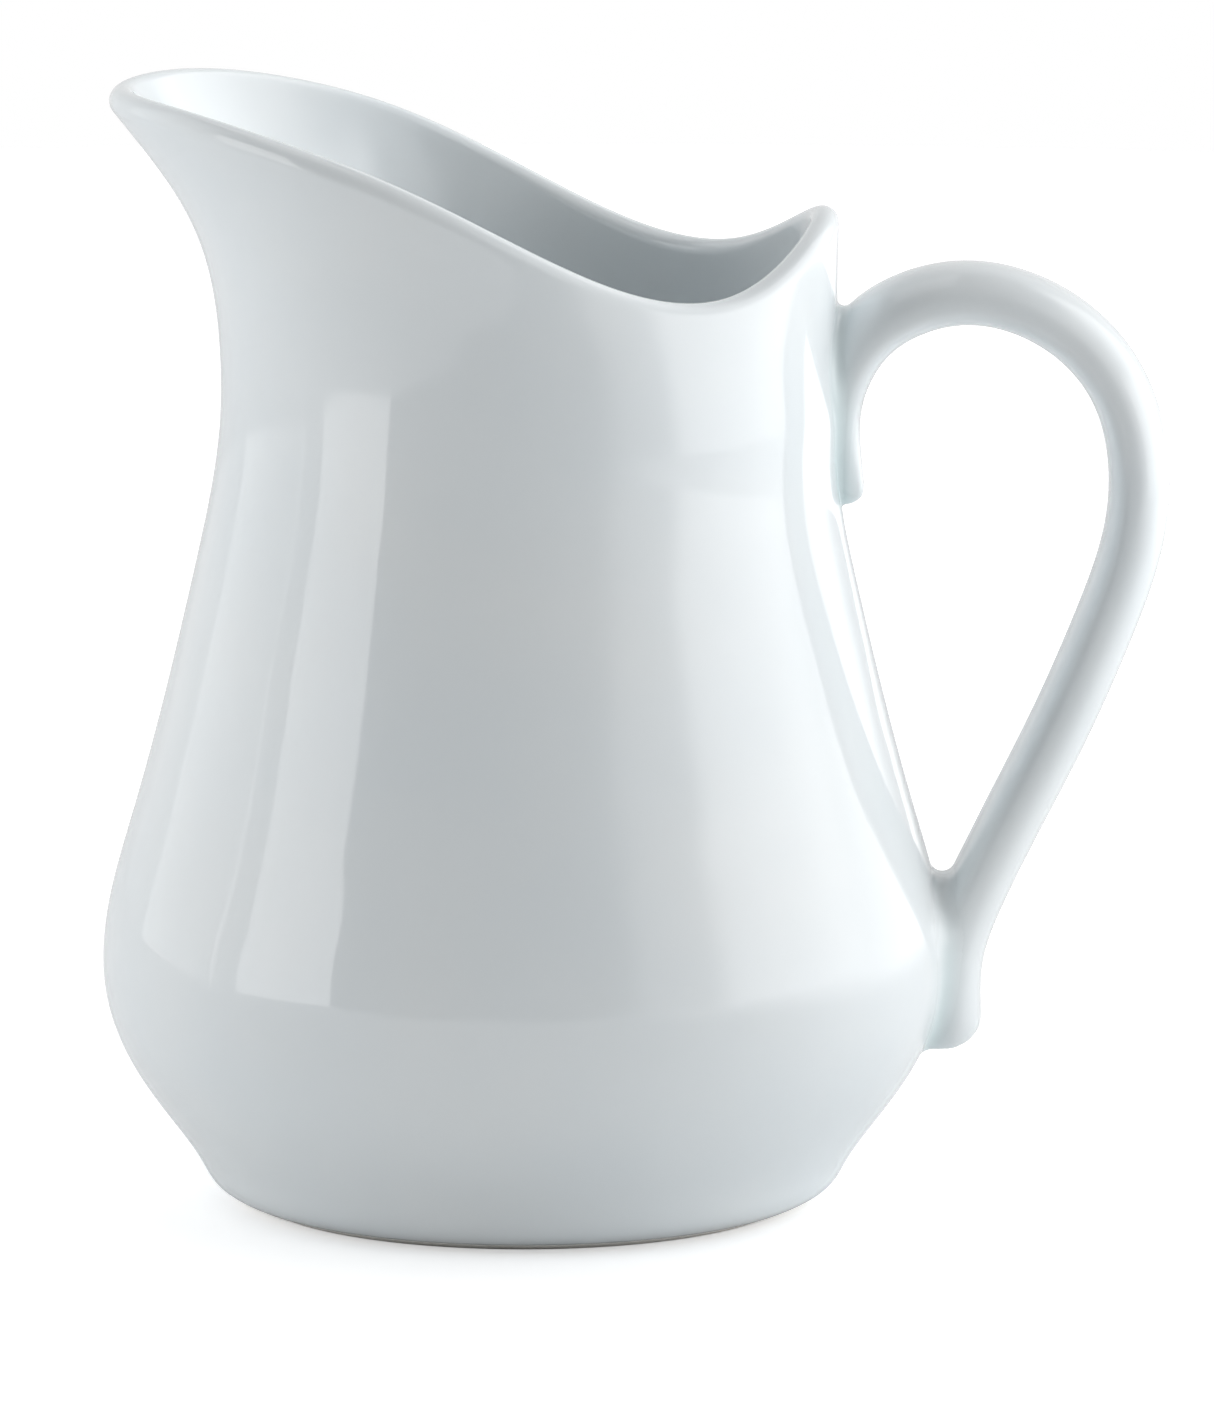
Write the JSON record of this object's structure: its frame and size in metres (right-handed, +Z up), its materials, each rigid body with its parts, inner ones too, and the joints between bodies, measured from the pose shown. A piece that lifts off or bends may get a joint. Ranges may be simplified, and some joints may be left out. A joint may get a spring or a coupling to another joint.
{
  "type": "pitcher",
  "caption": "Glazed white ceramic pitcher: pear-shaped body, long flared pouring spout, rim swept up over a looped strap handle.",
  "frame": {"origin": "centre of the standing face, on the table", "axes": "+Z up, +X towards the handle, -X towards the spout, mirror plane XZ"},
  "size_m": [0.1909, 0.1512, 0.2014],
  "materials": {
    "white_glaze": "clear gloss glaze over white porcelain",
    "handle_glaze": "clear gloss glaze over white porcelain",
    "pooled_glaze": "thicker, faintly blue-green gloss glaze pooled over luting slip",
    "bare_foot": "bare fired porcelain, ground smooth"
  },
  "bodies": {
    "root": {"body": "white_glaze", "foot_ring": "bare_foot", "handle": "handle_glaze", "upper_slip_joint": "pooled_glaze", "lower_slip_joint": "pooled_glaze"}
  },
  "joints": []
}
